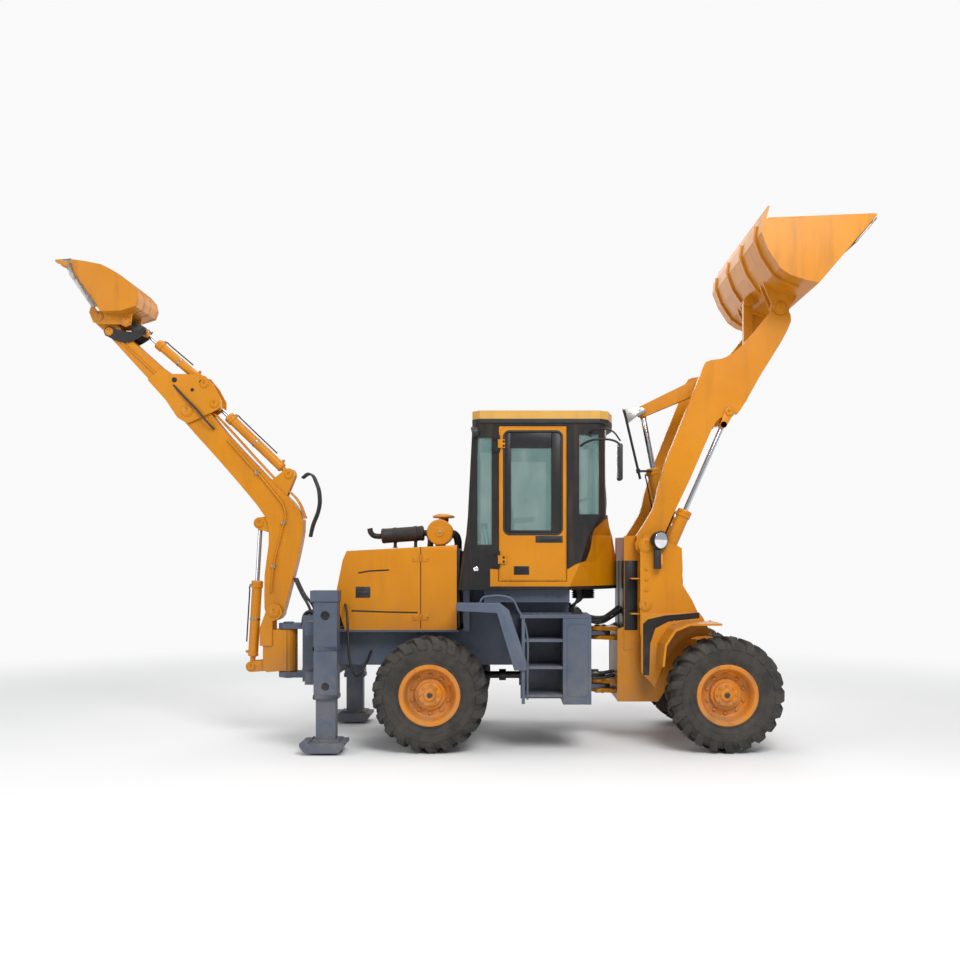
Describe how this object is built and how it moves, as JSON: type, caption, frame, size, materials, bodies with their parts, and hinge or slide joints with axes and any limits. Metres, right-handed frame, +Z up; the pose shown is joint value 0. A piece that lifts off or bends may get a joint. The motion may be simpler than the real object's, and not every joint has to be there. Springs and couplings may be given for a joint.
{
  "type": "backhoe loader",
  "caption": "Articulated backhoe loader with a front loader bucket, a cab, side-shift rear digging arm and drop-leg stabilizers.",
  "frame": {"origin": "on the ground under the middle of the machine's bounding box", "axes": "+X forwards towards the loader bucket, +Y to the machine's left, +Z up"},
  "size_m": [7.845, 2.15, 5.012],
  "materials": {
    "machine_yellow": "semi-gloss yellow-orange enamel",
    "roof_yellow": "faded lighter yellow enamel",
    "chassis_grey": "semi-gloss blue-grey enamel",
    "black_paint": "satin black",
    "dark_steel": "dark painted casting",
    "rod_chrome": "polished hard chrome",
    "tyre_rubber": "matt black rubber",
    "hub_orange": "orange enamel",
    "cab_glass": "green tinted safety glass",
    "seat_vinyl": "black vinyl"
  },
  "bodies": {
    "rear_frame": {"rear_chassis": "chassis_grey", "rear_axle": "dark_steel", "right_step_box": "chassis_grey", "left_step_box": "chassis_grey", "engine_hood": "machine_yellow", "engine_block": "dark_steel", "muffler": "black_paint", "air_cleaner": "machine_yellow", "cab_frame": "machine_yellow", "cab_roof": "roof_yellow", "windshield": "cab_glass", "rear_glass": "cab_glass", "rear_quarter_right_glass": "cab_glass", "rear_quarter_left_glass": "cab_glass", "front_quarter_right_glass": "cab_glass", "front_quarter_left_glass": "cab_glass", "seat_base": "black_paint", "seat_cushion": "seat_vinyl", "steering_console": "black_paint", "hoe_frame": "chassis_grey"},
    "front_frame": {"front_frame": "machine_yellow", "front_axle": "dark_steel"},
    "rear_right_wheel": {"rear_right_tyre": "tyre_rubber", "rear_right_rim": "hub_orange"},
    "front_right_wheel": {"front_right_tyre": "tyre_rubber", "front_right_rim": "hub_orange"},
    "right_door": {"right_door": "machine_yellow", "right_door_glass": "cab_glass"},
    "right_stabilizer": {"right_stabilizer": "chassis_grey"},
    "right_lift_barrel": {"right_lift_cylinder_barrel": "machine_yellow"},
    "right_lift_rod": {"right_lift_cylinder_rod": "rod_chrome"},
    "rear_left_wheel": {"rear_left_tyre": "tyre_rubber", "rear_left_rim": "hub_orange"},
    "front_left_wheel": {"front_left_tyre": "tyre_rubber", "front_left_rim": "hub_orange"},
    "left_door": {"left_door": "machine_yellow", "left_door_glass": "cab_glass"},
    "left_stabilizer": {"left_stabilizer": "chassis_grey"},
    "left_lift_barrel": {"left_lift_cylinder_barrel": "machine_yellow"},
    "left_lift_rod": {"left_lift_cylinder_rod": "rod_chrome"},
    "loader_arms": {"loader_arms": "machine_yellow"},
    "loader_bucket": {"loader_bucket": "machine_yellow"},
    "bell_crank": {"bell_crank": "machine_yellow"},
    "loader_link": {"loader_link": "machine_yellow"},
    "side_shift_carriage": {"side_shift_carriage": "chassis_grey"},
    "swing_post": {"swing_post": "machine_yellow"},
    "boom": {"boom": "machine_yellow"},
    "stick": {"stick": "machine_yellow"},
    "hoe_bucket": {"hoe_bucket": "machine_yellow"},
    "hoe_link": {"hoe_link": "dark_steel"},
    "hoe_rockers": {"right_hoe_rocker": "black_paint", "left_hoe_rocker": "black_paint"},
    "tilt_barrel": {"tilt_cylinder_barrel": "machine_yellow"},
    "tilt_rod": {"tilt_cylinder_rod": "rod_chrome"},
    "boom_barrel": {"boom_cylinder_barrel": "machine_yellow"},
    "boom_rod": {"boom_cylinder_rod": "rod_chrome"},
    "stick_barrel": {"stick_cylinder_barrel": "machine_yellow"},
    "stick_rod": {"stick_cylinder_rod": "rod_chrome"},
    "hoe_bucket_cylinder_barrel": {"hoe_bucket_cylinder_barrel": "machine_yellow"},
    "hoe_bucket_cylinder_rod": {"hoe_bucket_cylinder_rod": "rod_chrome"}
  },
  "joints": [
    {"name": "rear_right_wheel_spin", "type": "hinge", "parent": "rear_frame", "child": "rear_right_wheel", "pos_m": [-0.1715, -0.82, 0.5375], "axis": [0, 1, 0], "continuous": true},
    {"name": "front_right_wheel_spin", "type": "hinge", "parent": "front_frame", "child": "front_right_wheel", "pos_m": [2.5735, -0.82, 0.5375], "axis": [0, 1, 0], "continuous": true},
    {"name": "rear_left_wheel_spin", "type": "hinge", "parent": "rear_frame", "child": "rear_left_wheel", "pos_m": [-0.1715, 0.82, 0.5375], "axis": [0, 1, 0], "continuous": true},
    {"name": "front_left_wheel_spin", "type": "hinge", "parent": "front_frame", "child": "front_left_wheel", "pos_m": [2.5735, 0.82, 0.5375], "axis": [0, 1, 0], "continuous": true},
    {"name": "articulation", "type": "hinge", "parent": "rear_frame", "child": "front_frame", "pos_m": [1.4935, 0, 0.785], "axis": [0, 0, 1], "range_deg": [-35, 35]},
    {"name": "right_door_hinge", "type": "hinge", "parent": "rear_frame", "child": "right_door", "pos_m": [0.4665, -0.692, 1.587], "axis": [0, 0, -1], "range_deg": [0, 85]},
    {"name": "left_door_hinge", "type": "hinge", "parent": "rear_frame", "child": "left_door", "pos_m": [0.4665, 0.692, 1.587], "axis": [0, 0, 1], "range_deg": [0, 85]},
    {"name": "right_stabilizer_leg", "type": "slide", "parent": "rear_frame", "child": "right_stabilizer", "axis": [0, 0, -1], "range_m": [-0.36, 0.2]},
    {"name": "left_stabilizer_leg", "type": "slide", "parent": "rear_frame", "child": "left_stabilizer", "axis": [0, 0, -1], "range_m": [-0.36, 0.2]},
    {"name": "loader_lift", "type": "hinge", "parent": "front_frame", "child": "loader_arms", "pos_m": [1.8815, 0, 1.93], "axis": [0, -1, 0], "range_deg": [-103.7, 1]},
    {"name": "loader_bucket_tilt", "type": "hinge", "parent": "loader_arms", "child": "loader_bucket", "pos_m": [3.1835, 0, 4.23], "axis": [0, 1, 0], "range_deg": [-54, 80]},
    {"name": "bell_crank_pivot", "type": "hinge", "parent": "loader_arms", "child": "bell_crank", "pos_m": [2.5085, 0, 3.561], "axis": [0, 1, 0], "range_deg": [-20.82, 14.22]},
    {"name": "loader_link_pivot", "type": "hinge", "parent": "loader_bucket", "child": "loader_link", "pos_m": [2.9885, 0, 4.403], "axis": [0, 1, 0], "range_deg": [-57.54, 39]},
    {"name": "right_lift_cylinder_pivot", "type": "hinge", "parent": "front_frame", "child": "right_lift_barrel", "pos_m": [1.8735, -0.47, 1.35], "axis": [0, -1, 0], "range_deg": [-92.36, 1.39]},
    {"name": "right_lift_cylinder_stroke", "type": "slide", "parent": "right_lift_barrel", "child": "right_lift_rod", "axis": [0.4001, 0, 0.9165], "range_m": [-0.8587, 0.01224]},
    {"name": "left_lift_cylinder_pivot", "type": "hinge", "parent": "front_frame", "child": "left_lift_barrel", "pos_m": [1.8735, 0.47, 1.35], "axis": [0, -1, 0], "range_deg": [-92.36, 1.39]},
    {"name": "left_lift_cylinder_stroke", "type": "slide", "parent": "left_lift_barrel", "child": "left_lift_rod", "axis": [0.4001, 0, 0.9165], "range_m": [-0.8587, 0.01224]},
    {"name": "tilt_cylinder_pivot", "type": "hinge", "parent": "front_frame", "child": "tilt_barrel", "pos_m": [2.2035, 0, 1.837], "axis": [0, -1, 0], "range_deg": [-114.11, 1.6]},
    {"name": "tilt_cylinder_stroke", "type": "slide", "parent": "tilt_barrel", "child": "tilt_rod", "axis": [-0.1921, 0, 0.9814], "range_m": [-0.31172, 0.00697]},
    {"name": "side_shift", "type": "slide", "parent": "rear_frame", "child": "side_shift_carriage", "axis": [0, 1, 0], "range_m": [-0.45, 0.45]},
    {"name": "hoe_swing", "type": "hinge", "parent": "side_shift_carriage", "child": "swing_post", "pos_m": [-1.6765, 0, 0.9], "axis": [0, 0, 1], "range_deg": [-90, 90]},
    {"name": "boom_lift", "type": "hinge", "parent": "swing_post", "child": "boom", "pos_m": [-1.8045, 0, 1.262], "axis": [0, -1, 0], "range_deg": [-5, 70]},
    {"name": "stick_fold", "type": "hinge", "parent": "boom", "child": "stick", "pos_m": [-2.6815, 0, 3.288], "axis": [0, -1, 0], "range_deg": [0, 85]},
    {"name": "hoe_bucket_curl", "type": "hinge", "parent": "stick", "child": "hoe_bucket", "pos_m": [-3.5565, 0, 4.23], "axis": [0, -1, 0], "range_deg": [0, 110]},
    {"name": "boom_cylinder_pivot", "type": "hinge", "parent": "swing_post", "child": "boom_barrel", "pos_m": [-2.0465, 0, 0.707], "axis": [0, -1, 0], "range_deg": [-3.77, 46.35]},
    {"name": "boom_cylinder_stroke", "type": "slide", "parent": "boom_barrel", "child": "boom_rod", "axis": [0.0584, 0, 0.9983], "range_m": [-0.48964, 0.03869]},
    {"name": "stick_cylinder_pivot", "type": "hinge", "parent": "boom", "child": "stick_barrel", "pos_m": [-1.6665, 0, 2.65], "axis": [0, -1, 0], "range_deg": [-0.5, 3.49]},
    {"name": "stick_cylinder_stroke", "type": "slide", "parent": "stick_barrel", "child": "stick_rod", "axis": [-0.7216, 0, 0.6923], "range_m": [-0.004, 0.38297]},
    {"name": "hoe_rocker_pivot", "type": "hinge", "parent": "stick", "child": "hoe_rockers", "pos_m": [-3.4615, 0, 4.085], "axis": [0, -1, 0], "range_deg": [-0.5, 94.81]},
    {"name": "hoe_link_pivot", "type": "hinge", "parent": "hoe_bucket", "child": "hoe_link", "pos_m": [-3.2765, 0, 4.185], "axis": [0, -1, 0], "range_deg": [-125.49, 0.5]},
    {"name": "hoe_bucket_cylinder_pivot", "type": "hinge", "parent": "stick", "child": "hoe_bucket_cylinder_barrel", "pos_m": [-2.5065, 0, 3.56], "axis": [0, -1, 0], "range_deg": [-0.5, 0.93]},
    {"name": "hoe_bucket_cylinder_stroke", "type": "slide", "parent": "hoe_bucket_cylinder_barrel", "child": "hoe_bucket_cylinder_rod", "axis": [-0.7614, 0, 0.6483], "range_m": [-0.004, 0.46676]}
  ],
  "couplings": [
    {"joint": "bell_crank_pivot", "follows": "loader_bucket_tilt", "ratio": -0.254},
    {"joint": "loader_link_pivot", "follows": "loader_bucket_tilt", "ratio": -0.713},
    {"joint": "right_lift_cylinder_pivot", "follows": "loader_lift", "ratio": 0.88581},
    {"joint": "right_lift_cylinder_stroke", "follows": "loader_lift", "m_per_rad": 0.47223},
    {"joint": "left_lift_cylinder_pivot", "follows": "loader_lift", "ratio": 0.88581},
    {"joint": "left_lift_cylinder_stroke", "follows": "loader_lift", "m_per_rad": 0.47223},
    {"joint": "tilt_cylinder_pivot", "follows": "loader_lift", "ratio": 1.0956},
    {"joint": "tilt_cylinder_stroke", "follows": "loader_lift", "m_per_rad": 0.17002},
    {"joint": "boom_cylinder_pivot", "follows": "boom_lift", "ratio": 0.65507},
    {"joint": "boom_cylinder_stroke", "follows": "boom_lift", "m_per_rad": -0.3975},
    {"joint": "stick_cylinder_pivot", "follows": "stick_fold", "ratio": 0.035148},
    {"joint": "stick_cylinder_stroke", "follows": "stick_fold", "m_per_rad": 0.25545},
    {"joint": "hoe_rocker_pivot", "follows": "hoe_bucket_curl", "ratio": 0.85732},
    {"joint": "hoe_link_pivot", "follows": "hoe_bucket_curl", "ratio": -1.1362},
    {"joint": "hoe_bucket_cylinder_pivot", "follows": "hoe_bucket_curl", "ratio": 0.003879},
    {"joint": "hoe_bucket_cylinder_stroke", "follows": "hoe_bucket_curl", "m_per_rad": 0.24104}
  ]
}
